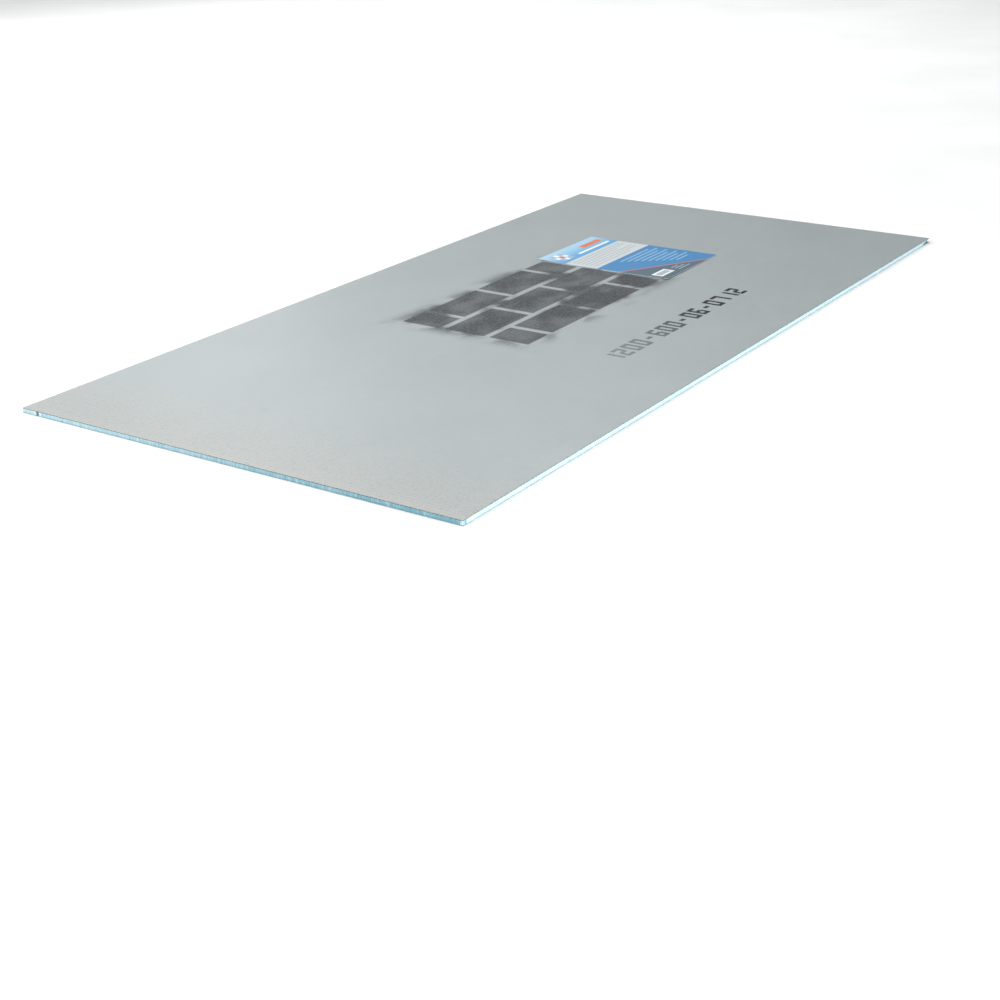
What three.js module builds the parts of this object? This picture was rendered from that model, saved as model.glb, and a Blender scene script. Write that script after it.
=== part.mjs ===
// Foam tile backer board, lying flat, in millimetres, +Z up.
// A core of blue extruded polystyrene foam carries a grey polymer-cement coat with a glass mesh on
// each face, and a small printed sheet lies on the upper coat.
// The origin is the centre of the underside, with the long side along X and the short side along Y.

import * as THREE from 'three';

// Driving dimensions of the board
const boardLength = 1200;
const boardWidth = 600;
const boardThickness = 6;
const coatThickness = 0.6;

// Printed sheet, a single A5 card laid with its long side across the board, its two ends curled up
const sheetWidth = 148;
const sheetLength = 210;
const sheetThickness = 0.3;
const sheetFromEndEdge = 239;
const sheetFromSideEdge = 163;
const curlLength = 60;
const curlRise = 1;
const curlSteps = 6;

// Wear on the cut foam edge: a nick in the near end, a crushed upright arris and a broken corner
const nickFromCorner = 23;
const nickWidth = 4;
const nickDepth = 2.5;
const crushedArris = 3;
const brokenCornerLength = 24;
const brokenCornerDepth = 2.5;

// Finishes, as seen in daylight
const finishes = {
  foam: { color: '#a9d4de', roughness: 0.85, metalness: 0 },
  coat: { color: '#a9b0b0', roughness: 0.55, metalness: 0 },
  card: { color: '#4f8fc4', roughness: 0.35, metalness: 0 },
};

// Lines, levels and directions that the pieces share
const nearEnd = -boardLength / 2;
const farEnd = boardLength / 2;
const nearSide = -boardWidth / 2;
const farSide = boardWidth / 2;
const coreBottom = coatThickness;
const coreTop = boardThickness - coatThickness;
const alongBoard = new THREE.Vector3(1, 0, 0);
const acrossBoard = new THREE.Vector3(0, 1, 0);
const upwards = new THREE.Vector3(0, 0, 1);

/** An outline from its corner points, taken anticlockwise. */
function outlineOf(points) {
  return new THREE.Shape(points.map(([x, y]) => new THREE.Vector2(x, y)));
}

/** The board's own outline, from the near side's far corner. */
function boardOutline() {
  return outlineOf([[farEnd, nearSide], [farEnd, farSide], [nearEnd, farSide], [nearEnd, nearSide]]);
}

/** A flat slab of an outline between two levels, so that slabs that meet share the very same level. */
function slab(outline, low, high) {
  const geometry = new THREE.ExtrudeGeometry(outline, { depth: 1, bevelEnabled: false });
  const position = geometry.attributes.position;
  for (let i = 0; i < position.count; i += 1) {
    position.setZ(i, position.getZ(i) === 0 ? low : high);
  }
  return geometry;
}

/** The foam core's outline: the board's rectangle with the wear of its edge cut into it. */
function wornOutline() {
  const nickMiddle = farSide - nickFromCorner;
  return outlineOf([
    [nearEnd + crushedArris, nearSide],
    [farEnd - brokenCornerLength, nearSide],
    [farEnd - brokenCornerDepth, nearSide + brokenCornerDepth],
    [farEnd, nearSide + 2 * brokenCornerDepth],
    [farEnd, farSide],
    [nearEnd, farSide],
    [nearEnd, nickMiddle + nickWidth / 2],
    [nearEnd + nickDepth, nickMiddle],
    [nearEnd, nickMiddle - nickWidth / 2],
    [nearEnd, nearSide + crushedArris],
  ]);
}

/** A named piece in one of the finishes. */
function piece(name, geometry, finish) {
  const mesh = new THREE.Mesh(geometry, new THREE.MeshStandardMaterial(finish));
  mesh.name = name;
  return mesh;
}

function makeCore() {
  return piece('foam_core', slab(wornOutline(), coreBottom, coreTop), finishes.foam);
}

function makeCoats() {
  return [
    piece('bottom_coat', slab(boardOutline(), 0, coreBottom), finishes.coat),
    piece('top_coat', slab(boardOutline(), coreTop, boardThickness), finishes.coat),
  ];
}

/** The sheet's underside from its near end to its far end: distance along it, and level. */
function sheetUnderside() {
  const nearCurl = [];
  for (let i = 0; i <= curlSteps; i += 1) {
    const along = i / curlSteps;
    nearCurl.push([along * curlLength, boardThickness + curlRise * (1 - along) ** 2]);
  }
  const farCurl = nearCurl.map(([distance, level]) => [sheetLength - distance, level]).reverse();
  return [...nearCurl, ...farCurl];
}

/** The sheet, drawn in side view across the board and then drawn out along it. */
function makeSheet() {
  const underside = sheetUnderside();
  const upperSide = underside.map(([distance, level]) => [distance, level + sheetThickness]);
  const sideView = outlineOf([...underside, ...upperSide.reverse()]);
  const geometry = new THREE.ExtrudeGeometry(sideView, { depth: sheetWidth, bevelEnabled: false });
  geometry.applyMatrix4(new THREE.Matrix4().makeBasis(acrossBoard, upwards, alongBoard));
  const sheet = piece('leaflet', geometry, finishes.card);
  sheet.position.x = farEnd - sheetFromEndEdge - sheetWidth;
  sheet.position.y = farSide - sheetFromSideEdge - sheetLength;
  return sheet;
}

const board = new THREE.Group();
board.name = 'tile_backer_board';
board.add(makeCore(), ...makeCoats(), makeSheet());

export default board;
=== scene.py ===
"""The looks of a foam tile backer board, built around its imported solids.

A sheet of blue extruded polystyrene foam carries a grey polymer-cement coat on each face. A woven
glass mesh is bedded in the coat, and its yarns stand up as a fine grid. The upper coat is stencilled
with plain tile shapes and numbers, and a small printed card lies on it. Lengths are in metres, and
those in the finishes are in millimetres, as their names and comments say.
"""
import logging
import math
import random
from collections.abc import Callable, Iterable
from dataclasses import dataclass
from enum import Enum

import bpy
from mathutils import Euler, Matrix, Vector


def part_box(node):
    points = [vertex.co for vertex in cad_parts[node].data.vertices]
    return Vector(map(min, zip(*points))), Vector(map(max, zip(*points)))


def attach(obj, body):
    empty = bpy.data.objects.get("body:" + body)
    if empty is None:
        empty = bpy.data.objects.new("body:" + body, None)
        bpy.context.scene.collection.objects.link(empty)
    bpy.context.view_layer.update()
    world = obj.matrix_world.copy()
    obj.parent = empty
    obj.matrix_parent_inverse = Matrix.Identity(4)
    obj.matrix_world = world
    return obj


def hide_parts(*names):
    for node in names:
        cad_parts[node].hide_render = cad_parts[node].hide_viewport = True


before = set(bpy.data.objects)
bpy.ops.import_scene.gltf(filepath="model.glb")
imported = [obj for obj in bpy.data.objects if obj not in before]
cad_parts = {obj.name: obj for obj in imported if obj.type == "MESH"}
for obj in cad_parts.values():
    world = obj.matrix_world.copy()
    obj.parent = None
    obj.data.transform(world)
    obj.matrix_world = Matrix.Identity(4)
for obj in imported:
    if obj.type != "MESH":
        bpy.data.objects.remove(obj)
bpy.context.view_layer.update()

MM = 0.001
BODY = "root"
CLOUD_LAYERS = 3
MIX_FACTOR, MIX_FIRST, MIX_SECOND, MIX_RESULT = 0, 6, 7, 2

log = logging.getLogger("backer_board")

Colour = tuple[float, float, float, float]


class Pick(Enum):
    """What is selected in edit mode."""

    POINTS = "VERT"
    EDGES = "EDGE"


class Side(Enum):
    """A face of the board, as the way its coat looks."""

    UPPER = 1
    LOWER = -1


def linear(hex_colour: str) -> Colour:
    """Turns an sRGB hex colour into a linear one.

    Args:
        hex_colour: The colour as "#rrggbb".

    Returns:
        Red, green, blue and an alpha of one.
    """
    channels = [int(hex_colour[i : i + 2], 16) / 255 for i in (1, 3, 5)]
    red, green, blue = [c / 12.92 if c <= 0.04045 else ((c + 0.055) / 1.055) ** 2.4 for c in channels]
    return red, green, blue, 1.0


class Recipe:
    """A material's node tree, and the object's coordinates in millimetres to draw its pattern by."""

    def __init__(self, name: str) -> None:
        """Starts an empty tree under a new material.

        Args:
            name: The material's name.
        """
        self.material = bpy.data.materials.new(name)
        self.material.use_nodes = True
        self.tree = self.material.node_tree
        self.tree.nodes.clear()
        place = self.add("ShaderNodeTexCoord").outputs["Object"]
        to_mm = {"Vector": place, "Scale": (1 / MM, 1 / MM, 1 / MM)}
        self.place = self.add("ShaderNodeMapping", None, to_mm).outputs[0]
        self.known = {}
        for axis, socket in zip("xyz", self.add("ShaderNodeSeparateXYZ", None, {0: self.place}).outputs):
            self.known[axis] = socket

    def add(self, kind: str, settings: dict | None = None, inputs: dict | None = None) -> bpy.types.Node:
        """Adds a node with its settings and links.

        Args:
            kind: The node's type.
            settings: Its properties by name.
            inputs: Its inputs by name or number, each a value or a socket to link.

        Returns:
            The new node.
        """
        node = self.tree.nodes.new(kind)
        for name, value in (settings or {}).items():
            setattr(node, name, value)
        for name, value in (inputs or {}).items():
            if isinstance(value, bpy.types.NodeSocket):
                self.tree.links.new(value, node.inputs[name])
            else:
                node.inputs[name].default_value = value
        return node

    def reckon(self, steps: Iterable[tuple]) -> None:
        """Adds a Math node for each step and keeps its result by name.

        Args:
            steps: Each a name, an operation, and terms that are numbers or earlier names.
        """
        for name, operation, *terms in steps:
            inputs = {i: self.known[t] if isinstance(t, str) else t for i, t in enumerate(terms)}
            self.known[name] = self.add("ShaderNodeMath", {"operation": operation}, inputs).outputs[0]

    def fade(
        self, name: str, source: str, start: float, end: float, low: float = 0, high: float = 1
    ) -> None:
        """Turns a known value smoothly into a share and keeps it by name.

        Args:
            name: The new value's name.
            source: The known value.
            start: The value that gives low.
            end: The value that gives high.
            low: The share at the start.
            high: The share at the end.
        """
        values = {"Value": self.known[source], "From Min": start, "From Max": end}
        shares = {"To Min": low, "To Max": high}
        node = self.add("ShaderNodeMapRange", {"interpolation_type": "SMOOTHSTEP"}, values | shares)
        self.known[name] = node.outputs["Result"]

    def rectangle(
        self, name: str, u: str, v: str, middle: tuple[float, float], half: tuple[float, float]
    ) -> None:
        """Reckons how far a place is outside a rectangle, below zero inside it, and keeps it by name.

        Args:
            name: The new value's name.
            u: The known place across.
            v: The known place along.
            middle: The rectangle's middle.
            half: Half its sides.
        """
        for side, place, centre, reach in (("du", u, middle[0], half[0]), ("dv", v, middle[1], half[1])):
            self.reckon(
                (
                    (side, "SUBTRACT", place, centre),
                    (side, "ABSOLUTE", side),
                    (side, "SUBTRACT", side, reach),
                )
            )
        self.reckon(((name, "MAXIMUM", "du", "dv"),))

    def noise(
        self, name: str, size: tuple[float, float, float], detail: float = 2, harsh: float = 0.5
    ) -> bpy.types.Node:
        """Adds a noise of a given grain and keeps its strength by name.

        Args:
            name: The new value's name.
            size: The grain's size along each axis, in millimetres.
            detail: How many finer layers it has.
            harsh: How strong those layers are.

        Returns:
            The noise node.
        """
        grain = {"Vector": self.place, "Scale": tuple(1 / s for s in size)}
        vector = self.add("ShaderNodeMapping", None, grain).outputs[0]
        inputs = {"Vector": vector, "Scale": 1.0, "Detail": detail, "Roughness": harsh}
        node = self.add("ShaderNodeTexNoise", {"noise_dimensions": "3D"}, inputs)
        self.known[name] = node.outputs[0]
        return node

    def mix(self, share: object, first: object, second: object) -> bpy.types.NodeSocket:
        """Mixes two colours.

        Args:
            share: How much of the second, a number or a socket.
            first: The first colour or its socket.
            second: The second colour or its socket.

        Returns:
            The mixed colour's socket.
        """
        inputs = {MIX_FACTOR: share, MIX_FIRST: first, MIX_SECOND: second}
        return self.add("ShaderNodeMix", {"data_type": "RGBA"}, inputs).outputs[MIX_RESULT]

    def finish(
        self, colour: object, roughness: object, height: str | None, plain: dict
    ) -> bpy.types.Material:
        """Puts the surface together.

        Args:
            colour: The base colour or its socket.
            roughness: The roughness or its socket.
            height: The known height of the fine relief in millimetres, if there is one.
            plain: Other inputs of the surface that are the same all over.

        Returns:
            The finished material.
        """
        inputs = {"Base Color": colour, "Roughness": roughness, **plain}
        if height:
            relief = {"Height": self.known[height], "Strength": 1.0, "Distance": MM}
            inputs["Normal"] = self.add("ShaderNodeBump", None, relief).outputs["Normal"]
        surface = self.add("ShaderNodeBsdfPrincipled", None, inputs)
        self.add("ShaderNodeOutputMaterial", None, {"Surface": surface.outputs[0]})
        return self.material


@dataclass(frozen=True)
class StencilNumbers:
    """Plain numbers sprayed through a stencil of straight bars, in millimetres on the board."""

    text: str = "1200-600-06-0712"
    left: float = -120.0
    foot: float = -192.0
    step: float = 21.5
    width: float = 16.5
    height: float = 28.0
    bar: float = 5.4
    bridge: float = 1.0
    far_off: float = 40.0

    def bars(self) -> dict[str, tuple[float, float, float, float]]:
        """Each bar of a figure: its middle and half its sides, from the figure's lower left corner."""
        half, w, h = self.bar / 2, self.width, self.height
        lying = (w / 2 - self.bridge / 2, half)
        upright = (half, h / 4 - self.bridge)
        return {
            "top": (w / 2, h - half, *lying),
            "middle": (w / 2, h / 2, lying[0] - half, half),
            "bottom": (w / 2, half, *lying),
            "upper_left": (half, h * 3 / 4 - half / 3, *upright),
            "upper_right": (w - half, h * 3 / 4 - half / 3, *upright),
            "lower_left": (half, h / 4 + half / 3, *upright),
            "lower_right": (w - half, h / 4 + half / 3, *upright),
        }

    def figures(self) -> dict[str, tuple[str, ...]]:
        """The bars that each figure is made of."""
        return {
            "0": ("top", "upper_left", "upper_right", "lower_left", "lower_right", "bottom"),
            "1": ("upper_right", "lower_right"),
            "2": ("top", "upper_right", "middle", "lower_left", "bottom"),
            "7": ("top", "upper_right", "lower_right"),
            "6": ("top", "upper_left", "middle", "lower_left", "lower_right", "bottom"),
            "-": ("middle",),
        }

    def draw(self, recipe: Recipe) -> None:
        """Adds the numbers' distance, below zero inside a bar, to a recipe as numbers_off."""
        count = len(self.text)
        recipe.reckon(
            (
                ("run", "SUBTRACT", "x", self.left),
                ("cell", "DIVIDE", "run", self.step),
                ("cell_part", "FRACT", "cell"),
                ("u", "MULTIPLY", "cell_part", self.step),
                ("v", "SUBTRACT", "y", self.foot),
                ("along", "DIVIDE", "cell", count),
                ("from_middle", "SUBTRACT", "along", 0.5),
                ("either_way", "ABSOLUTE", "from_middle"),
                ("outside", "GREATER_THAN", "either_way", 0.5),
                ("numbers_off", "MULTIPLY_ADD", "outside", self.far_off, self.far_off / 2),
            )
        )
        for bar, (u, v, half_u, half_v) in self.bars().items():
            here = [bar in self.figures()[figure] for figure in self.text]
            ramp = recipe.add("ShaderNodeValToRGB", None, {"Fac": recipe.known["along"]})
            ramp.color_ramp.interpolation = "CONSTANT"
            stops = ramp.color_ramp.elements
            stops[0].color = [1.0 - here[0]] * 3 + [1.0]
            stops.remove(stops[1])
            for i in range(1, count):
                if here[i] != here[i - 1]:
                    stops.new(i / count).color = [1.0 - here[i]] * 3 + [1.0]
            recipe.known["absent"] = ramp.outputs["Color"]
            recipe.rectangle("off", "u", "v", (u, v), (half_u, half_v))
            recipe.reckon(
                (
                    ("skip", "MAXIMUM", "absent", "outside"),
                    ("off", "MULTIPLY_ADD", "skip", self.far_off, "off"),
                    ("numbers_off", "MINIMUM", "numbers_off", "off"),
                )
            )


@dataclass(frozen=True)
class StencilTiles:
    """Plain blocks in running bond, sprayed through a stencil, in millimetres on the board."""

    left: float = -130.0
    foot: float = -70.0
    block: float = 115.0
    row: float = 67.6
    gap: float = 11.0
    blocks: int = 3
    rows: int = 3
    unit: float = 100.0

    def draw(self, recipe: Recipe) -> None:
        """Adds the blocks' ink to a recipe as tiles_ink."""
        shift = {"Vector": recipe.place, "Location": (-self.left, -self.foot, 0)}
        bond = {
            "Vector": recipe.add("ShaderNodeMapping", None, shift).outputs[0],
            "Scale": 1 / self.unit,
            "Mortar Size": self.gap / 2 / self.unit,
            "Mortar Smooth": 0.55,
            "Brick Width": self.block / self.unit,
            "Row Height": self.row / self.unit,
        }
        recipe.known["joint"] = recipe.add("ShaderNodeTexBrick", {"offset": 0.5}, bond).outputs["Fac"]
        half_x, half_y = self.block * self.blocks / 2, self.row * self.rows / 2
        middle = (self.left + half_x, self.foot + half_y)
        recipe.rectangle("panel_off", "x", "y", middle, (half_x - self.gap / 2, half_y - self.gap / 2))
        recipe.fade("panel", "panel_off", 1.0, -1.5)
        recipe.reckon(
            (
                ("block", "SUBTRACT", 1.0, "joint"),
                ("tiles_ink", "MULTIPLY", "block", "panel"),
            )
        )


@dataclass(frozen=True)
class CementCoat:
    """Polymer-modified cement, rolled thin over a woven glass mesh.

    It is satin from the polymer, so it holds a soft sheen, and the yarns under it draw a fine grid.
    The grain of its sand is finer than a pixel, so it is drawn a little coarser than it is.
    """

    cell_along: float
    cell_across: float
    corner: tuple[float, float]
    yarn_level: float
    printed: bool
    base: str = "#949d9f"
    dust: str = "#a1a29d"
    fleck: str = "#7d8487"
    # The cut rim's colour: partly the raw cut cement, partly painted shade along the cut edge.
    shaded_raw_cut: str = "#485053"
    ink: str = "#1b232b"
    thick_ink: str = "#07090c"
    drift_size: tuple[float, float, float] = (90, 90, 90)
    blotch_size: tuple[float, float, float] = (160, 120, 100)
    streak_size: tuple[float, float, float] = (420, 6, 6)
    mottle_size: tuple[float, float, float] = (11, 11, 11)
    fleck_size: tuple[float, float, float] = (5, 3, 3)
    sand_size: tuple[float, float, float] = (0.9, 0.9, 0.9)
    tone: float = 0.8
    blotch_share: float = 0.14
    streak_share: float = 0.06
    mottle_share: float = 0.08
    sand_share: float = 0.12
    yarn_painted_light: float = 0.04
    rubbed_share: float = 0.2
    fleck_share: float = 0.45
    dust_share: float = 0.45
    swept_share: float = 0.4
    sheen_roughness: float = 0.32
    sheen_patches: float = 0.12
    ink_roughness: float = 0.24
    thick_roughness: float = 0.4
    yarn_inner: float = 0.45
    yarn_outer: float = 1.7
    yarn_height: float = 0.07
    grain_height: float = 0.03
    wander: float = 0.4
    yarn_radius: float = 0.45
    glass: str = "#c3cfd0"
    worn_band: float = 18.0
    dusty_band: float = 190.0
    rim: float = 0.6
    rim_wander: float = 0.6
    lower_rim_share: float = 0.35
    speck_spacing: float = 34.0
    speck_radius: float = 0.9
    smudge: tuple[float, float, float] = (-465.0, 62.0, 8.0)
    spray_size: tuple[float, float, float] = (3.2, 3.2, 3.2)
    spray_edge: float = 2.4
    gust_size: tuple[float, float, float] = (70, 45, 50)
    mist_reach: float = 34.0
    load_reach: float = 130.0
    light_load: float = 0.55

    def material(self) -> bpy.types.Material:
        """Builds the coat's material, with the stencilled marks if it has them."""
        recipe = Recipe("printed_cement_coat" if self.printed else "cement_coat")
        self.lay_grains(recipe)
        self.find_places(recipe)
        self.find_shares(recipe)
        self.find_tones(recipe)
        base = recipe.mix(recipe.known["dusty"], linear(self.base), linear(self.dust))
        base = recipe.mix(recipe.known["fleck"], base, linear(self.fleck))
        cut = recipe.mix(recipe.known["yarn_end"], linear(self.shaded_raw_cut), linear(self.glass))
        base = recipe.mix(recipe.known["cut"], base, cut)
        shade = {0: base, "Scale": recipe.known["tone"]}
        colour = recipe.add("ShaderNodeVectorMath", {"operation": "SCALE"}, shade).outputs[0]
        if self.printed:
            self.print_on(recipe)
            ink = recipe.mix(recipe.known["thick"], linear(self.ink), linear(self.thick_ink))
            colour = recipe.mix(recipe.known["ink"], colour, ink)
            recipe.reckon(
                (
                    ("rough", "MULTIPLY_ADD", "ink", self.ink_roughness, "rough"),
                    ("rough", "MULTIPLY_ADD", "numbers_ink", self.thick_roughness, "rough"),
                )
            )
        return recipe.finish(colour, recipe.known["rough"], "height", {"Specular IOR Level": 0.5})

    def lay_grains(self, recipe: Recipe) -> None:
        """Adds the noises and the specks that the coat's patterns are drawn from."""
        drift = recipe.noise("drift", self.drift_size, 1)
        parts = recipe.add("ShaderNodeSeparateXYZ", None, {0: drift.outputs["Color"]})
        recipe.known["drift_x"], recipe.known["drift_y"] = parts.outputs[0], parts.outputs[1]
        recipe.noise("blotch", self.blotch_size, 3)
        recipe.noise("streak", self.streak_size, 3, 0.6)
        recipe.noise("mottle", self.mottle_size, 3, 0.6)
        recipe.noise("flecks", self.fleck_size, 2, 0.6)
        recipe.noise("grain", self.sand_size, 3, 0.65)
        spots = {"Vector": recipe.place, "Scale": 1 / self.speck_spacing, "Randomness": 1.0}
        specks = recipe.add("ShaderNodeTexVoronoi", {"voronoi_dimensions": "2D"}, spots)
        recipe.known["speck_off"] = specks.outputs["Distance"]
        recipe.known["speck_kind"] = specks.outputs["Color"]

    def find_places(self, recipe: Recipe) -> None:
        """Reckons how far a place is from the ends, the sides, the yarns and the smudge."""
        recipe.reckon(
            (
                ("bend_x", "MULTIPLY_ADD", "drift_x", 2 * self.wander, -self.wander),
                ("bend_y", "MULTIPLY_ADD", "drift_y", 2 * self.wander, -self.wander),
                ("from_end", "ADD", "x", "bend_x"),
                ("from_end", "SUBTRACT", "from_end", self.corner[0]),
                ("from_side", "ADD", "y", "bend_y"),
                ("from_side", "SUBTRACT", "from_side", self.corner[1]),
                ("off_cross", "PINGPONG", "from_end", self.cell_along / 2),
                ("off_long", "PINGPONG", "from_side", self.cell_across / 2),
                ("end_side", "ABSOLUTE", "x"),
                ("end_side", "SUBTRACT", -self.corner[0], "end_side"),
                ("long_side", "ABSOLUTE", "y"),
                ("long_side", "SUBTRACT", -self.corner[1], "long_side"),
                ("from_rim", "MINIMUM", "end_side", "long_side"),
                ("from_rim", "MULTIPLY_ADD", "flecks", -2 * self.rim_wander, "from_rim"),
                ("from_rim", "ADD", "from_rim", self.rim_wander),
                ("smudge_x", "SUBTRACT", "x", self.smudge[0]),
                ("smudge_y", "SUBTRACT", "y", self.smudge[1]),
                ("smudge_x", "POWER", "smudge_x", 2.0),
                ("smudge_off", "MULTIPLY_ADD", "smudge_y", "smudge_y", "smudge_x"),
                ("smudge_off", "SQRT", "smudge_off"),
                ("end_off", "MAXIMUM", "off_cross", "off_long"),
                ("end_off", "MULTIPLY", "end_off", "end_off"),
                ("end_up", "SUBTRACT", "z", self.yarn_level),
                ("end_off", "MULTIPLY_ADD", "end_up", "end_up", "end_off"),
                ("end_off", "SQRT", "end_off"),
            )
        )

    def find_shares(self, recipe: Recipe) -> None:
        """Turns those distances into shares of yarn, wear, dust, cut rim, flecks and specks."""
        recipe.fade("cross_yarn", "off_cross", self.yarn_outer, self.yarn_inner)
        recipe.fade("long_yarn", "off_long", self.yarn_outer, self.yarn_inner)
        recipe.fade("worn", "from_end", self.worn_band, 2.0)
        recipe.fade("swept", "from_end", self.dusty_band, 10.0)
        rim_share = 1 if self.printed else self.lower_rim_share
        # The cut rim is painted dark: partly the raw cut cement, partly painted shade along the cut
        # edge, with less of it on the lower coat.
        recipe.fade("cut", "from_rim", self.rim, self.rim / 3, 0, rim_share)
        recipe.fade("yarn_end", "end_off", self.yarn_radius, self.yarn_radius / 2)
        recipe.fade("fleck", "flecks", 0.54, 0.66)
        recipe.fade("speck", "speck_off", 1.3 * self.speck_radius / self.speck_spacing, 0)
        recipe.fade("rare", "speck_kind", 0.55, 0.75)
        recipe.fade("smudge", "smudge_off", self.smudge[2], self.smudge[2] / 3, 0, 0.05)

    def find_tones(self, recipe: Recipe) -> None:
        """Adds up the fine relief, the tone, the dust and the roughness."""
        recipe.reckon(
            (
                ("under_yarn", "MULTIPLY", "long_yarn", 0.5),
                ("yarn", "MAXIMUM", "cross_yarn", "under_yarn"),
                ("yarn_relief", "MULTIPLY", "yarn", self.yarn_height),
                ("grain_relief", "MULTIPLY", "grain", self.grain_height),
                ("height", "ADD", "yarn_relief", "grain_relief"),
                ("tone", "MULTIPLY_ADD", "blotch", self.blotch_share, self.tone),
                ("tone", "MULTIPLY_ADD", "streak", self.streak_share, "tone"),
                ("tone", "MULTIPLY_ADD", "mottle", self.mottle_share, "tone"),
                ("tone", "MULTIPLY_ADD", "grain", self.sand_share, "tone"),
                # Painted light and shade: the yarns are painted lighter than the dimples between them.
                ("tone", "MULTIPLY_ADD", "yarn", self.yarn_painted_light, "tone"),
                ("rubbed", "MULTIPLY", "cross_yarn", "swept"),
                ("rubbed", "MULTIPLY", "rubbed", "flecks"),
                ("tone", "MULTIPLY_ADD", "rubbed", -self.rubbed_share, "tone"),
                ("tone", "SUBTRACT", "tone", "smudge"),
                ("dusty", "MULTIPLY_ADD", "worn", self.dust_share, "mottle"),
                ("dusty", "MULTIPLY_ADD", "swept", self.swept_share, "dusty"),
                ("dusty", "SUBTRACT", "dusty", self.dust_share),
                ("fleck", "MULTIPLY", "fleck", "swept"),
                ("fleck", "MULTIPLY_ADD", "speck", "rare", "fleck"),
                ("fleck", "MULTIPLY", "fleck", self.fleck_share),
                ("rough", "MULTIPLY_ADD", "mottle", self.sheen_patches, self.sheen_roughness),
            )
        )

    def print_on(self, recipe: Recipe) -> None:
        """Adds the sprayed marks to a recipe as ink, with the mist that got under the stencil.

        A full coat of ink fills the dimples too. Where it is thin, only the yarns take it.
        """
        StencilTiles().draw(recipe)
        StencilNumbers().draw(recipe)
        recipe.noise("spray", self.spray_size, 3, 0.7)
        recipe.noise("patchy", self.gust_size, 2)
        recipe.reckon((("ragged_off", "MULTIPLY_ADD", "spray", self.spray_edge, "numbers_off"),))
        recipe.fade("numbers_ink", "ragged_off", 2.1, 0.7)
        recipe.fade("numbers_load", "x", -self.load_reach, self.load_reach, self.light_load, 1.0)
        recipe.fade("spatter", "spray", 0.25, 0.6, 0.86, 1.0)
        recipe.fade("load", "patchy", 0.35, 0.6, 0.88, 1.0)
        recipe.fade("drift_ink", "panel_off", self.mist_reach, -6.0)
        recipe.fade("gust", "patchy", 0.42, 0.6, 0.05, 0.95)
        recipe.reckon(
            (
                ("numbers_ink", "MULTIPLY", "numbers_ink", "numbers_load"),
                ("tiles_ink", "MULTIPLY", "tiles_ink", "load"),
                ("mist", "MULTIPLY", "drift_ink", "gust"),
                ("ink", "MAXIMUM", "tiles_ink", "numbers_ink"),
                ("ink", "MAXIMUM", "ink", "mist"),
                ("ink", "MULTIPLY", "ink", "spatter"),
                ("bare", "SUBTRACT", 1.0, "ink"),
                ("thick", "MULTIPLY", "numbers_ink", "numbers_load"),
                ("hold", "MULTIPLY_ADD", "bare", "yarn", "ink"),
                ("hold", "MAXIMUM", "hold", "thick"),
                ("ink", "MULTIPLY", "ink", "hold"),
            )
        )


@dataclass(frozen=True)
class EdgeWear:
    """Where the foam's cut edge has been knocked, in millimetres on the board."""

    corner: tuple[float, float] = (-600.0, -300.0)
    arris: float = 3.0
    nick: tuple[float, float] = (-600.0, 277.0)
    nick_width: float = 4.0
    nick_depth: float = 2.5
    broken: tuple[float, float] = (600.0, -300.0)
    broken_length: float = 24.0
    broken_depth: float = 2.5


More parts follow.
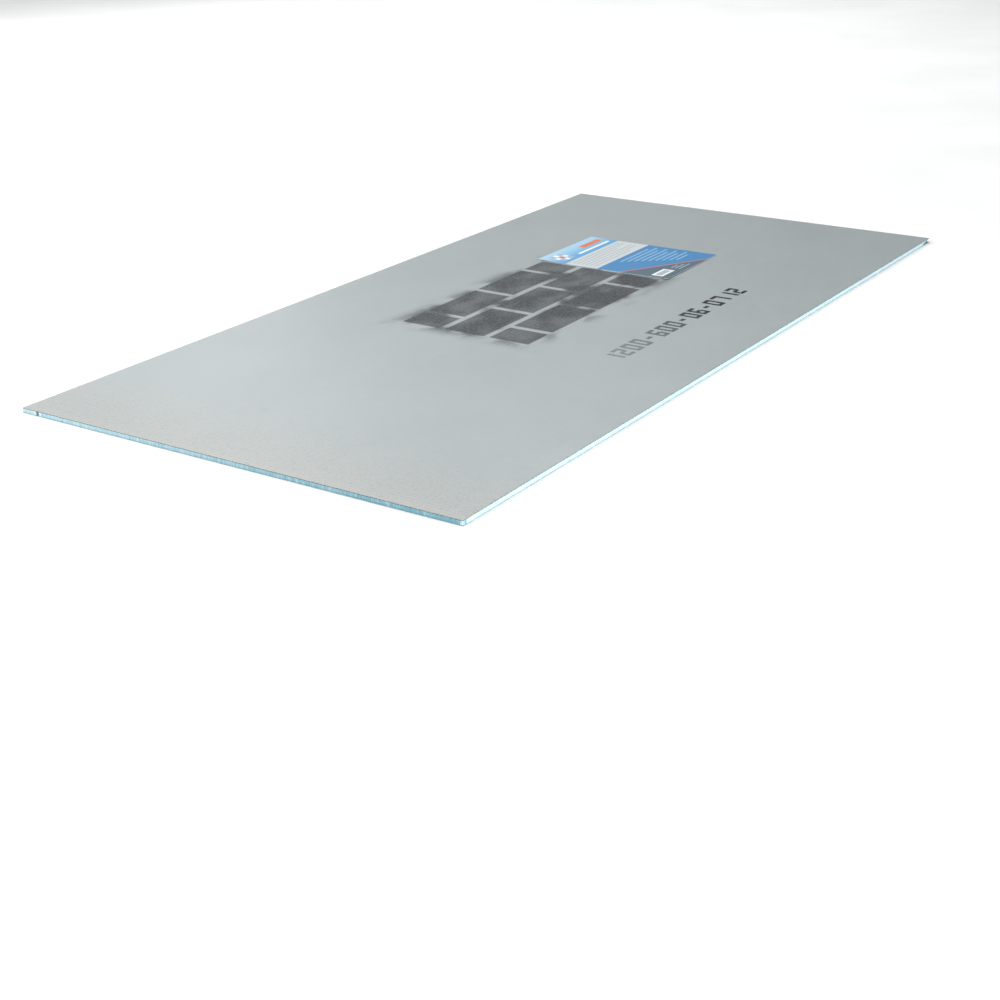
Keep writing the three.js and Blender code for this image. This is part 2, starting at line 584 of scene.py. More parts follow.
@dataclass(frozen=True)
class SawnFoam:
    """Extruded polystyrene foam, cut square with a fine saw.

    Its cut cells make it matt and faintly speckled, and the saw leaves upright marks. Crushing turns its
    cells white. The nick and the broken corner are painted a deeper blue as shade in those hollows,
    and a painted highlight is laid round the nick.
    The real cells are about 0.2 mm across and are drawn coarser, so that they show.
    """

    wear: EdgeWear
    base: str = "#aac8d1"
    deep: str = "#6797a7"
    pale: str = "#e4f3f5"
    # Painted shade: the deeper blue laid in the nick and in the broken corner.
    painted_hollow_shade: str = "#4e7f92"
    cell: float = 0.8
    streaks: float = 0.5
    bottom_painted_shade: float = 0.25
    pit_shade: float = 0.14
    patch_shade: float = 0.1
    pale_streaks: float = 0.35
    # Painted shade: how dark the near end is painted towards its near corner.
    painted_corner_shade_depth: float = 0.75
    side_painted_light: float = 0.2
    smooth_side: float = 0.3
    crushed_share: float = 0.8
    painted_nick_highlight_share: float = 0.55
    painted_hollow_shade_share: float = 0.85
    cell_relief: float = 0.12
    streak_relief: float = 0.16

    def material(self) -> bpy.types.Material:
        """Builds the foam's material, with painted shade deepening towards the near corner of the near
        end and painted light paling the long sides.
        """
        recipe = Recipe("sawn_blue_foam")
        recipe.noise("marks", (2.2, 2.2, 26), 3, 0.7)
        recipe.noise("patch", (19, 19, 19), 2)
        recipe.noise("crumble", (2.6, 2.6, 1.6), 3, 0.6)
        fine = {"Vector": recipe.place, "Scale": 1 / self.cell}
        recipe.known["cells"] = recipe.add("ShaderNodeTexVoronoi", None, fine).outputs["Distance"]
        recipe.fade("deep", "marks", 0.5, 0.7)
        recipe.fade("pale", "marks", 0.46, 0.28)
        recipe.fade("pits", "cells", 0.35, 0.9)
        recipe.fade("patch", "patch", 0.35, 0.65)
        recipe.fade("low", "z", 2.4, 1.2)
        recipe.reckon(
            (
                ("from_end", "ABSOLUTE", "x"),
                ("from_end", "SUBTRACT", -self.wear.corner[0], "from_end"),
            )
        )
        recipe.fade("end_cut", "from_end", 8.0, 4.0)
        # Painted shade: the near end is darkened more and more towards its near corner, standing in for
        # the shade that falls there.
        recipe.fade("painted_corner_shade", "y", 250.0, -300.0, 0.0, self.painted_corner_shade_depth)
        self.knocks(recipe)
        recipe.reckon(
            (
                ("side_cut", "SUBTRACT", 1.0, "end_cut"),
                ("rough_cut", "MULTIPLY_ADD", "end_cut", 1 - self.smooth_side, self.smooth_side),
                ("painted_corner_shade", "MULTIPLY", "painted_corner_shade", "end_cut"),
                ("deep", "MULTIPLY", "deep", self.streaks),
                # Painted shade: the walls are painted deeper towards their bottom.
                ("deep", "MULTIPLY_ADD", "low", self.bottom_painted_shade, "deep"),
                ("deep", "MULTIPLY", "deep", "rough_cut"),
                ("deep", "MULTIPLY_ADD", "pits", self.pit_shade, "deep"),
                ("deep", "MULTIPLY_ADD", "patch", self.patch_shade, "deep"),
                ("deep", "ADD", "deep", "painted_corner_shade"),
                ("pale", "MULTIPLY", "pale", self.pale_streaks),
                # Painted light: the long sides are painted paler, as if lit.
                ("pale", "MULTIPLY_ADD", "side_cut", self.side_painted_light, "pale"),
                ("pale", "MAXIMUM", "pale", "crushed_and_highlight"),
                ("height", "MULTIPLY", "cells", -self.cell_relief),
                ("height", "MULTIPLY_ADD", "marks", -self.streak_relief, "height"),
            )
        )
        colour = recipe.mix(recipe.known["deep"], linear(self.base), linear(self.deep))
        colour = recipe.mix(recipe.known["pale"], colour, linear(self.pale))
        colour = recipe.mix(recipe.known["painted_hollow_shade"], colour, linear(self.painted_hollow_shade))
        return recipe.finish(colour, 0.82, "height", {"Specular IOR Level": 0.3})

    def knocks(self, recipe: Recipe) -> None:
        """Adds to a recipe the whitened near corner, the painted highlight round the nick, and the
        painted shade in the nick and in the broken corner.
        """
        wear = self.wear
        recipe.reckon(
            (
                ("corner_x", "SUBTRACT", "x", wear.corner[0]),
                ("corner_y", "SUBTRACT", "y", wear.corner[1]),
                ("corner_off", "ADD", "corner_x", "corner_y"),
                ("nick_y", "SUBTRACT", "y", wear.nick[1]),
                ("nick_y", "ABSOLUTE", "nick_y"),
                ("nick_off", "MULTIPLY_ADD", "corner_x", 0.2, "nick_y"),
                ("torn_x", "SUBTRACT", wear.broken[0], "x"),
                ("torn_y", "SUBTRACT", "y", wear.broken[1]),
                ("torn_off", "MULTIPLY_ADD", "torn_y", 1.2, "torn_x"),
                ("torn_off", "MULTIPLY_ADD", "z", 5.0, "torn_off"),
                ("torn_off", "MULTIPLY_ADD", "crumble", 14.0, "torn_off"),
            )
        )
        recipe.fade("crushed_and_highlight", "corner_off", wear.arris + 0.3, wear.arris, 0, self.crushed_share)
        width = wear.nick_width
        # Painted highlight: a pale band round the nick, standing in for light on its rims.
        recipe.fade("painted_nick_highlight", "nick_off", 2 * width, 0.7 * width, 0, self.painted_nick_highlight_share)
        recipe.fade("nicked", "nick_off", 0.75 * width, 0.5 * width)
        recipe.fade("broken", "torn_off", wear.broken_length + 22.0, wear.broken_length + 6.0)
        recipe.reckon(
            (
                # Whitening of the bruised near corner, joined with the painted highlight round the nick.
                ("crushed_and_highlight", "MAXIMUM", "crushed_and_highlight", "painted_nick_highlight"),
                # Painted shade in the nick and in the broken corner.
                ("painted_hollow_shade", "MAXIMUM", "broken", "nicked"),
                ("painted_hollow_shade", "MULTIPLY", "painted_hollow_shade", self.painted_hollow_shade_share),
            )
        )


@dataclass(frozen=True)
class PaperEdge:
    """Uncoated paper, as the card's cut edges and its plain underside show it."""

    base: str = "#eef0ee"
    fibre: str = "#e2e5e4"

    def material(self) -> bpy.types.Material:
        """Builds the paper's material."""
        recipe = Recipe("plain_paper")
        recipe.noise("fibres", (0.8, 0.8, 0.8), 3, 0.6)
        recipe.reckon((("height", "MULTIPLY", "fibres", 0.01),))
        recipe.fade("shade", "fibres", 0.3, 0.7)
        colour = recipe.mix(recipe.known["shade"], linear(self.base), linear(self.fibre))
        return recipe.finish(colour, 0.8, "height", {"Specular IOR Level": 0.4})


@dataclass(frozen=True)
class PrintedCard:
    """Coated card, printed in process colours: smooth, with a low gloss from the coating.

    The print is plain blocks, bars and tile shapes, in millimetres from the card's near left corner.
    """

    corner: tuple[float, float]
    width: float
    length: float
    header: float = 46.0
    panel_foot: float = 98.0
    slant: float = 0.62
    slant_level: float = 76.0
    stripe: float = 1.2
    edge_blur: float = 0.25
    tile: float = 8.0
    tile_gap: float = 1.6
    sky: str = "#4f9fd2"
    glow: str = "#a9d2ea"
    field: str = "#2f80b8"
    panel: str = "#c9d0d3"
    slate: str = "#466072"
    accent: str = "#e2703f"
    white: str = "#eef2f3"
    faint: str = "#93c0dc"
    soft: str = "#a9b3b9"

    def blocks(self) -> list[tuple[float, float, float, float, str]]:
        """The printed rectangles, first the lowest: left, near, right, far and colour."""
        w, h = self.width, self.length
        found = [
            (0, 0, w, h, self.field),
            (0, h - self.header, w, h, self.sky),
            (0, h - self.panel_foot, w, h - self.header, self.panel),
            (w - 60, h - 24, w - 8, h - 14, self.accent),
            (w - 92, h - 37, w - 8, h - 32, self.white),
            (8, 12, 44, 30, self.white),
            (12, 16, 40, 26, self.soft),
            (54, 10, 86, 12, self.soft),
            (54, 16, 80, 18, self.soft),
            (54, 22, 72, 24, self.soft),
        ]
        for row in range(3):
            for column in range(3):
                left = 12 + column * (self.tile + self.tile_gap)
                near = h - 38 + row * (self.tile + self.tile_gap)
                if row == column == 1:
                    shade = self.accent
                else:
                    shade = self.white if (row + column) % 2 else self.soft
                found.append((left, near, left + self.tile, near + self.tile, shade))
        for line in range(6):
            near = h - 90 + line * 7
            found.append((8, near, w - (10 if line % 3 else 40), near + 2.2, self.soft))
        for line in range(9):
            near = h - 110 - line * 8
            found.append((w - 100 + line * 6, near, w - (8 if line % 2 else 20), near + 2.4, self.faint))
        return found

    def material(self) -> bpy.types.Material:
        """Builds the print's material."""
        recipe = Recipe("printed_card")
        recipe.reckon(
            (
                ("u", "SUBTRACT", "x", self.corner[0]),
                ("v", "SUBTRACT", "y", self.corner[1]),
                ("slope", "MULTIPLY_ADD", "u", self.slant, "v"),
                ("slate_off", "SUBTRACT", "slope", self.slant_level),
                ("stripe_off", "ABSOLUTE", "slate_off"),
            )
        )
        recipe.fade("glow", "v", self.length - self.header, self.length)
        recipe.fade("slate", "slate_off", 0.4, -0.4)
        recipe.fade("stripe", "stripe_off", 1.25 * self.stripe, 0.75 * self.stripe)
        colour = linear(self.field)
        for i, (left, near, right, far, shade) in enumerate(self.blocks()):
            half = ((right - left) / 2, (far - near) / 2)
            recipe.rectangle("off", "u", "v", (left + half[0], near + half[1]), half)
            recipe.fade("block", "off", self.edge_blur, -self.edge_blur)
            colour = recipe.mix(recipe.known["block"], colour, linear(shade))
            if i == 2:
                colour = recipe.mix(recipe.known["glow"], colour, linear(self.glow))
                colour = recipe.mix(recipe.known["slate"], colour, linear(self.slate))
                colour = recipe.mix(recipe.known["stripe"], colour, linear(self.accent))
        return recipe.finish(colour, 0.32, None, {"Specular IOR Level": 0.5})


@dataclass(frozen=True)
class GlassYarn:
    """Loose ends of glass yarn with crumbs of cement on them: pale, fibrous and a little shiny."""

    base: str = "#cfdcdc"
    crumb: str = "#9aa6a8"

    def material(self) -> bpy.types.Material:
        """Builds the yarn ends' material."""
        recipe = Recipe("glass_yarn")
        recipe.noise("crumbs", (0.7, 0.7, 0.7), 2)
        recipe.fade("crumb", "crumbs", 0.45, 0.6)
        colour = recipe.mix(recipe.known["crumb"], linear(self.base), linear(self.crumb))
        recipe.reckon((("height", "MULTIPLY", "crumbs", 0.1),))
        return recipe.finish(colour, 0.5, "height", {"Specular IOR Level": 0.5})


@dataclass(frozen=True)
class PaleFloor:
    """A studio floor of painted board: near white and matt."""

    base: str = "#f7f8f8"
    cloud: str = "#f2f3f3"

    def material(self) -> bpy.types.Material:
        """Builds the floor's material."""
        recipe = Recipe("pale_floor")
        recipe.noise("faint", (300, 300, 300), 2)
        recipe.fade("shade", "faint", 0.3, 0.7)
        colour = recipe.mix(recipe.known["shade"], linear(self.base), linear(self.cloud))
        return recipe.finish(colour, 0.9, None, {"Specular IOR Level": 0.2})


def clear_selection() -> None:
    """Leaves nothing selected in object mode."""
    bpy.ops.object.select_all(action="DESELECT")


def newest(name: str) -> bpy.types.Object:
    """Names the object that was just made.

    Args:
        name: Its new name, also its mesh's.

    Returns:
        The object, still selected and active.
    """
    piece = bpy.context.object
    piece.name = piece.data.name = name
    return piece


def pick(piece: bpy.types.Object, what: Pick, test: Callable[[Vector], bool]) -> None:
    """Selects parts of a mesh by their place, and leaves it in edit mode.

    Args:
        piece: The active object.
        what: Points or edges.
        test: Says yes to the middle of each part that is wanted.
    """
    bpy.ops.object.mode_set(mode="EDIT")
    bpy.ops.mesh.select_mode(type=what.value)
    bpy.ops.mesh.select_all(action="DESELECT")
    bpy.ops.object.mode_set(mode="OBJECT")
    mesh = piece.data
    for part in mesh.vertices if what is Pick.POINTS else mesh.edges:
        if what is Pick.POINTS:
            middle = part.co
        else:
            middle = sum((mesh.vertices[i].co for i in part.vertices), Vector()) / 2
        part.select = test(middle)
    bpy.ops.object.mode_set(mode="EDIT")


def shift(piece: bpy.types.Object, test: Callable[[Vector], bool], by: tuple) -> None:
    """Moves the points of a mesh that are picked by their place.

    Args:
        piece: The active object.
        test: Says yes to each point that is wanted.
        by: How far they move along each axis.
    """
    pick(piece, Pick.POINTS, test)
    bpy.ops.transform.translate(value=by)
    bpy.ops.object.mode_set(mode="OBJECT")


def stretch(piece: bpy.types.Object, test: Callable[[Vector], bool], by: tuple, centre: tuple) -> None:
    """Scales the points of a mesh that are picked by their place.

    Args:
        piece: The active object.
        test: Says yes to each point that is wanted.
        by: The scale along each axis.
        centre: The point that stays.
    """
    pick(piece, Pick.POINTS, test)
    bpy.ops.transform.resize(value=by, center_override=centre)
    bpy.ops.object.mode_set(mode="OBJECT")


def pick_rim() -> None:
    """Selects the open edges of the active mesh and leaves it in edit mode."""
    bpy.ops.object.mode_set(mode="EDIT")
    bpy.ops.mesh.select_mode(type="EDGE")
    bpy.ops.mesh.select_all(action="DESELECT")
    bpy.ops.mesh.select_non_manifold()


def turn_outward() -> None:
    """Turns all faces of the mesh in edit mode outward and leaves edit mode."""
    bpy.ops.mesh.select_all(action="SELECT")
    bpy.ops.mesh.normals_make_consistent(inside=False)
    bpy.ops.object.mode_set(mode="OBJECT")


def apply_modifiers(piece: bpy.types.Object) -> None:
    """Applies all the modifiers of the active object."""
    for modifier in list(piece.modifiers):
        bpy.ops.object.modifier_apply(modifier=modifier.name)


def settle() -> None:
    """Puts the selected object's place, turn and scale into its mesh."""
    bpy.ops.object.transform_apply(location=True, rotation=True, scale=True)


def clouds(name: str, size: float) -> bpy.types.Texture:
    """Makes a cloud texture that unevenness is drawn from.

    Args:
        name: Its name.
        size: The clouds' size in metres.

    Returns:
        The texture.
    """
    texture = bpy.data.textures.new(name, "CLOUDS")
    texture.noise_scale = size
    texture.noise_depth = CLOUD_LAYERS
    return texture


def uneven(
    piece: bpy.types.Object, texture: bpy.types.Texture, way: str, depth: float, level: float
) -> None:
    """Adds unevenness to a piece as a modifier, read in the board's own coordinates.

    Args:
        piece: The object.
        texture: What it is drawn from.
        way: The direction it moves points in.
        depth: How far the texture's full range moves them, in metres.
        level: The texture's value that moves nothing.
    """
    modifier = piece.modifiers.new(texture.name, "DISPLACE")
    modifier.texture = texture
    modifier.texture_coords = "GLOBAL"
    modifier.direction = way
    modifier.strength = depth
    modifier.mid_level = level


def hand_over(piece: bpy.types.Object, slot: str, *nodes: str) -> None:
    """Rides a piece on the board and hides the solids that it stands for.

    Args:
        piece: The finished object.
        slot: Not used.
        nodes: The solids that it replaces.
    """
    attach(piece, BODY)
    if nodes:
        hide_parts(*nodes)
    piece.data.calc_loop_triangles()
    log.info("%s: %d triangles", piece.name, len(piece.data.loop_triangles))


@dataclass
class MeshCoat:
    """A coat with the relief of its glass mesh, modelled as one mesh cell and repeated.

    Lengths are in metres. The yarns' crossings stand at the solid's own face, and all else is lower.
    """

    node: str
    side: Side
    printed: bool
    cells_along: int = 212
    cells_across: int = 114
    cross_sag: float = 0.04 * MM
    long_sag: float = 0.15 * MM
    dimple: float = 0.30 * MM
    swell: float = 0.14 * MM
    swell_size: float = 7 * MM
    ragged: float = 0.5 * MM
    ragged_size: float = 3 * MM

    def build(self) -> None:
        """Models the coat and dresses it."""
        low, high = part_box(self.node)
        face, back = (high.z, low.z) if self.side is Side.UPPER else (low.z, high.z)
        cell = Vector(((high.x - low.x) / self.cells_along, (high.y - low.y) / self.cells_across))
        piece = self.model_cell(low, face, cell)
        self.repeat(piece)
        self.close(piece, back)
        bpy.ops.object.shade_smooth_by_angle(angle=math.radians(60))
        yarn_level = (0.6 * face + 0.4 * back) / MM
        finish = CementCoat(cell.x / MM, cell.y / MM, (low.x / MM, low.y / MM), yarn_level, self.printed)
        piece.data.materials.append(finish.material())
        hand_over(piece, "cement_coat", self.node)

    def model_cell(self, low: Vector, face: float, cell: Vector) -> bpy.types.Object:
        """Models one cell: crossings at its corners, sagging yarns between them and a dimple.

        The yarns that run across the board lie over the others, so they sag the least.

        Args:
            low: The board's lowest corner.
            face: The level of the crossings.
            cell: The cell's sides.

        Returns:
            The cell's object.
        """
        clear_selection()
        middle = Vector((low.x + cell.x / 2, low.y + cell.y / 2, face))
        bpy.ops.mesh.primitive_grid_add(x_subdivisions=2, y_subdivisions=2, size=1, location=middle)
        piece = newest(f"{self.node}_relief")
        bpy.ops.transform.resize(value=(cell.x, cell.y, 1))
        settle()
        near = 0.1 * min(cell)
        sags = {(True, False): self.long_sag, (False, True): self.cross_sag, (True, True): self.dimple}
        for place, sag in sags.items():
            shift(
                piece,
                lambda p, w=place: (abs(p.x - middle.x) < near, abs(p.y - middle.y) < near) == w,
                (0, 0, -self.side.value * sag),
            )
        return piece

    def repeat(self, piece: bpy.types.Object) -> None:
        """Repeats the cell over the whole face and makes it uneven."""
        for axis, count in enumerate((self.cells_along, self.cells_across)):
            row = piece.modifiers.new(f"cells_{axis}", "ARRAY")
            row.count = count
            row.relative_offset_displace = [1.0 if i == axis else 0.0 for i in range(3)]
            row.use_merge_vertices = True
            row.merge_threshold = 0.05 * MM
        level = 1.0 if self.side is Side.UPPER else 0.0
        uneven(piece, clouds(f"{self.node}_swell", self.swell_size), "Z", self.swell, level)
        apply_modifiers(piece)
        pick_rim()
        bpy.ops.object.vertex_group_assign_new()
        bpy.ops.object.mode_set(mode="OBJECT")
        for way in ("X", "Y"):
            texture = clouds(f"{self.node}_ragged_{way}", self.ragged_size)
            uneven(piece, texture, way, self.ragged, 0.5)
            piece.modifiers[-1].vertex_group = piece.vertex_groups[0].name
        apply_modifiers(piece)

    def close(self, piece: bpy.types.Object, back: float) -> None:
        """Closes the relief into a solid, down to the level where it is bonded to the foam."""
        pick_rim()
        down = {"value": (0, 0, -self.side.value * self.dimple)}
        bpy.ops.mesh.extrude_region_move(TRANSFORM_OT_translate=down)
        bpy.ops.transform.resize(value=(1, 1, 0), center_override=(0, 0, back))
        bpy.ops.mesh.edge_face_add()
        turn_outward()


@dataclass
class FoamCore:
    """The foam core: square-cut walls with the marks of the saw, a nick and two bruised corners."""

    node: str = "foam_core"
    step: float = 1.5 * MM
    splits: int = 100
    rows: int = 4
    saw_depth: float = 0.22 * MM
    saw_size: float = 1.6 * MM
    broken_steps: tuple[tuple[float, float], ...] = (
        (1.0, 2.2 * MM),
        (0.75, 3.4 * MM),
        (0.5, 4.6 * MM),
        (0.25, 5.0 * MM),
    )
    wear: EdgeWear = EdgeWear()

    def build(self) -> None:
        """Models the core and dresses it."""
        low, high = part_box(self.node)
        piece = self.model_walls(low, high)
        self.bruise(piece)
        uneven(piece, clouds("saw_marks", self.saw_size), "NORMAL", self.saw_depth, 1.0)
        apply_modifiers(piece)
        self.close(piece)
        bpy.ops.object.shade_smooth_by_angle(angle=math.radians(40))
        piece.data.materials.append(SawnFoam(self.wear).material())
        hand_over(piece, "blue_foam", self.node)

    def model_walls(self, low: Vector, high: Vector) -> bpy.types.Object:
        """Models the four walls as a band of small faces, open at the top and bottom.

        Args:
            low: The core's lowest corner.
            high: The core's highest corner.

        Returns:
            The walls' object.
        """
        clear_selection()
        middle, size = (low + high) / 2, high - low
        bpy.ops.mesh.primitive_plane_add(size=1, location=(middle.x, middle.y, low.z))
        piece = newest("foam_core_sawn")
        bpy.ops.transform.resize(value=(size.x, size.y, 1))
        settle()
        bpy.ops.object.mode_set(mode="EDIT")
        bpy.ops.mesh.select_all(action="SELECT")
        bpy.ops.mesh.delete(type="ONLY_FACE")
        bpy.ops.object.mode_set(mode="OBJECT")
        for axis, other in ((0, 1), (1, 0)):
            to_side = size[other] / 2 - self.step / 4
            lengths = round(size[axis] / self.step / self.splits)
            for cuts in (lengths - 1, self.splits - 1):
                pick(piece, Pick.EDGES, lambda p, o=other, s=to_side: abs(p[o] - middle[o]) > s)
                bpy.ops.mesh.subdivide(number_cuts=cuts)
                bpy.ops.object.mode_set(mode="OBJECT")
        bpy.ops.object.mode_set(mode="EDIT")
        bpy.ops.mesh.select_mode(type="EDGE")
        bpy.ops.mesh.select_all(action="SELECT")
        for _ in range(self.rows):
            lift = {"value": (0, 0, size.z / self.rows)}
            bpy.ops.mesh.extrude_region_move(TRANSFORM_OT_translate=lift)
        turn_outward()
        return piece

    def bruise(self, piece: bpy.types.Object) -> None:
        """Presses in the nick, flattens the arris at the near corner and breaks the far corner.

        Each broken step is a share of the broken length and the level up to which it is bitten off.
        """
        wear = self.wear
        corner, nick, broken = [Vector(p) * MM for p in (wear.corner, wear.nick, wear.broken)]
        arris, width, depth = wear.arris * MM, wear.nick_width * MM, wear.nick_depth * MM
        for _ in range(2):
            shift(
                piece,
                lambda p: p.x - corner.x + p.y - corner.y < 0.75 * arris,
                (arris / 4, arris / 4, 0),
            )
        for share in (1.0, 0.5):
            shift(
                piece,
                lambda p, s=share: p.x < nick.x + width and abs(p.y - nick.y) < s * width / 2,
                (depth / 2, 0, 0),
            )
        length, bite = wear.broken_length * MM, wear.broken_depth * MM
        near_side = broken.y + 2 * bite
        for share, level in self.broken_steps:
            start = broken.x - share * length
            shift(
                piece,
                lambda p, x=start, z=level: p.y < near_side and p.x > x and p.z < z,
                (0, bite / 3, 0),
            )

    def close(self, piece: bpy.types.Object) -> None:
        """Closes the walls with a flat face below and another above."""
        low = min(v.co.z for v in piece.data.vertices)
        high = max(v.co.z for v in piece.data.vertices)
        for level in (low, high):
            pick(piece, Pick.EDGES, lambda p, z=level: abs(p.z - z) < 0.01 * MM)
            bpy.ops.mesh.edge_face_add()
            bpy.ops.object.mode_set(mode="OBJECT")
        bpy.ops.object.mode_set(mode="EDIT")
        turn_outward()


@dataclass
class Card:
    """The printed card, lying on the coat with its two ends curled up."""

    node: str = "leaflet"
    columns: int = 12
    rows: int = 28
    thickness: float = 0.3 * MM
    curl_length: float = 60 * MM
    right_curl: float = 0.3

    def build(self) -> None:
        """Models the card and dresses it."""
        low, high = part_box(self.node)
        size = high - low
        clear_selection()
        centre = ((low.x + high.x) / 2, (low.y + high.y) / 2, low.z)
        grid = {"x_subdivisions": self.columns, "y_subdivisions": self.rows}
        bpy.ops.mesh.primitive_grid_add(size=1, location=centre, **grid)
        piece = newest("printed_card")
        bpy.ops.transform.resize(value=(size.x, size.y, 1))
        settle()
        self.curl(piece, low, high)
        shell = piece.modifiers.new("thickness", "SOLIDIFY")
        shell.thickness = self.thickness
        shell.offset = 1
        apply_modifiers(piece)
        bpy.ops.object.shade_smooth_by_angle(angle=math.radians(40))
        print_place = (low.x / MM, low.y / MM)
        piece.data.materials.append(PrintedCard(print_place, size.x / MM, size.y / MM).material())
        piece.data.materials.append(PaperEdge().material())
        for face in piece.data.polygons:
            face.material_index = 0 if face.normal.z > 0.5 else 1
        hand_over(piece, "printed_card", self.node)

    def curl(self, piece: bpy.types.Object, low: Vector, high: Vector) -> None:
        """Lifts the card row by row towards its two ends, less towards its right side.

        Args:
            piece: The flat card.
            low: The lowest corner of its solid.
            high: The highest corner of its solid.
        """
        rise, row = high.z - low.z - self.thickness, (high.y - low.y) / self.rows
        for i in range(self.rows + 1):
            end_off = min(i, self.rows - i) * row
            if end_off >= self.curl_length:
                continue
            level = low.y + i * row
            lift = rise * (1 - end_off / self.curl_length) ** 2
            shift(piece, lambda p, y=level: abs(p.y - y) < row / 4, (0, 0, lift))
        column = (high.x - low.x) / self.columns
        for j in range(self.columns + 1):
            along = low.x + j * column
            leftness = (1 + math.cos(math.pi * j / self.columns)) / 2
            keep = self.right_curl + (1 - self.right_curl) * leftness
            stretch(piece, lambda p, x=along: abs(p.x - x) < column / 4, (1, 1, keep), (0, 0, low.z))


@dataclass
class YarnEnds:
    """Loose ends of the glass yarns that stick out of the coats where the board was cut."""

    seed: int = 11
    sides: int = 7
    taper: float = 0.5
    radius: float = 0.42 * MM
    length: float = 1.8 * MM
    spacing: float = 5.26 * MM
    share: float = 0.4
    lengths: tuple[float, float] = (0.5, 1.0)
    sideways: float = 0.5 * MM
    lifts: tuple[float, float] = (1.1, 1.5)
    splay: float = 20.0
    bedded: float = 0.5 * MM

    def build(self) -> None:
        """Models yarn ends one by one along the near end and the far end, and joins them."""
        low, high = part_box("bottom_coat")
        draw = random.Random(self.seed)
        clear_selection()
        copies = []
        count = int((high.y - low.y) / self.spacing)
        for end, way in ((low.x, -1), (high.x, 1)):
            for i in range(1, count):
                if draw.random() > self.share:
                    continue
                length = self.length * draw.uniform(*self.lengths)
                y = low.y + i * self.spacing + draw.uniform(-self.sideways, self.sideways)
                z = low.z + self.radius * draw.uniform(*self.lifts)
                middle = (end + way * (length / 2 - self.bedded), y, z)
                tilt = (0, math.radians(90), math.radians(draw.uniform(-self.splay, self.splay)))
                copies.append(self.yarn_end(middle, tilt, length, way))
        clear_selection()
        for piece in copies:
            piece.select_set(True)
        bpy.context.view_layer.objects.active = copies[0]
        bpy.ops.object.join()
        piece = newest("yarn_ends")
        settle()
        bpy.ops.object.shade_smooth_by_angle(angle=math.radians(50))
        piece.data.materials.append(GlassYarn().material())
        hand_over(piece, "cement_coat")

    def yarn_end(self, middle: tuple, tilt: tuple, length: float, way: int) -> bpy.types.Object:
        """Models one tapered yarn end.

        Args:
            middle: Its middle.
            tilt: How it is turned.
            length: How long it is.
            way: Which way it points along the board.

        Returns:
            Its object.
        """
        clear_selection()
        bpy.ops.mesh.primitive_cylinder_add(
            vertices=self.sides,
            radius=self.radius,
            depth=length,
            end_fill_type="NGON",
            location=middle,
            rotation=tilt,
        )
        piece = newest("yarn_end")
        settle()
        tip = middle[0] + way * length / 4
        stretch(piece, lambda p: (p.x - tip) * way > 0, (1, self.taper, self.taper), middle)
        return piece


@dataclass(frozen=True)
class SoftBox:
    """A studio lamp with a large soft face. Lengths are in metres, power in watts, spread in degrees."""

    name: str
    place: tuple[float, float, float]
    aim: tuple[float, float, float]
    size: tuple[float, float]
    power: float
    spread: float = 180.0

    def build(self) -> None:
        """Puts up the lamp, turned to what it lights."""
        lamp = bpy.data.lights.new(self.name, "AREA")
        lamp.shape = "RECTANGLE"
        lamp.size, lamp.size_y = self.size
        lamp.energy = self.power
        lamp.spread = math.radians(self.spread)
        holder = bpy.data.objects.new(self.name, lamp)
        holder.location = self.place
        way = Vector(self.aim) - Vector(self.place)
        holder.rotation_euler = way.to_track_quat("-Z", "Y").to_euler()
        bpy.context.scene.collection.objects.link(holder)


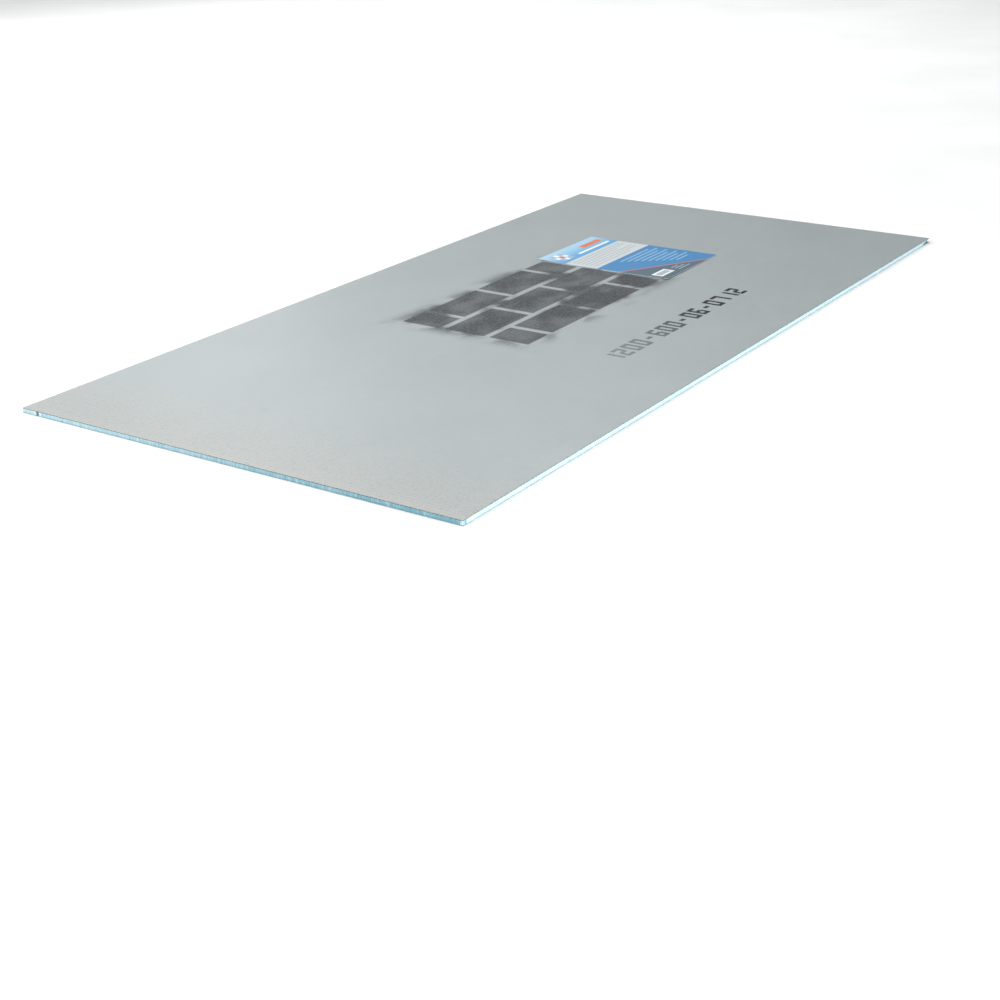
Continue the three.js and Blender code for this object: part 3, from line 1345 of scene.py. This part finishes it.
@dataclass
class Studio:
    """The floor, the lamps and the camera. Lengths are in metres and angles in degrees."""

    floor_size: float = 30.0
    camera_place: tuple[float, float, float] = (-1.7622, -1.1352, 0.6397)
    camera_azimuth: float = 34.301
    camera_dip: float = 23.210
    camera_roll: float = 1.247
    focal_length: float = 60.48
    sky: str = "#ffffff"
    sky_strength: float = 0.2

    def build(self) -> None:
        """Sets up the floor, the light and the camera."""
        clear_selection()
        bpy.ops.mesh.primitive_grid_add(x_subdivisions=4, y_subdivisions=4, size=self.floor_size)
        floor = newest("studio_floor")
        floor.data.materials.append(PaleFloor().material())
        world = bpy.data.worlds.new("studio_air")
        world.use_nodes = True
        air = world.node_tree.nodes["Background"]
        air.inputs["Color"].default_value = linear(self.sky)
        air.inputs["Strength"].default_value = self.sky_strength
        bpy.context.scene.world = world
        for lamp in self.lamps():
            lamp.build()
        self.place_camera()
        bpy.context.scene.view_settings.view_transform = "Standard"

    def lamps(self) -> list[SoftBox]:
        """The soft boxes."""
        return [
            SoftBox("ceiling", (1.6, 1.0, 4.5), (1.6, 1.0, 0), (10.0, 10.0), 215),
            SoftBox("far_overhead", (2.4, 1.8, 3.0), (2.4, 1.8, 0), (4.0, 4.0), 18, spread=120),
            SoftBox("left", (-2.1, 1.3, 1.4), (-0.5, 0.2, 0), (2.2, 1.6), 54),
            SoftBox("right", (-0.6, -1.9, 0.36), (-0.2, -0.3, 0), (2.2, 0.45), 42),
            SoftBox("back", (0.8, 3.05, 1.4), (-0.4, 0.2, 0), (3.4, 1.6), 26),
            SoftBox("back_high", (2.3, 1.85, 2.0), (-0.4, -0.1, 0), (1.8, 1.4), 13),
        ]

    def place_camera(self) -> None:
        """Puts the camera where the photograph's camera stood, with its lens and slight roll."""
        data = bpy.data.cameras.new("camera")
        data.lens = self.focal_length
        data.sensor_width = 36.0
        camera = bpy.data.objects.new("camera", data)
        camera.location = self.camera_place
        heading = Euler((math.radians(90 - self.camera_dip), 0, math.radians(self.camera_azimuth - 90)))
        roll = Euler((0, 0, math.radians(-self.camera_roll)))
        camera.rotation_euler = (heading.to_matrix() @ roll.to_matrix()).to_euler()
        bpy.context.scene.collection.objects.link(camera)
        bpy.context.scene.camera = camera


def main() -> None:
    """Builds the pieces in order and reports each one."""
    logging.basicConfig(level=logging.INFO, format="%(name)s: %(message)s")
    FoamCore().build()
    MeshCoat("top_coat", Side.UPPER, printed=True).build()
    MeshCoat("bottom_coat", Side.LOWER, printed=False).build()
    YarnEnds().build()
    Card().build()
    Studio().build()


if __name__ == "__main__":
    main()
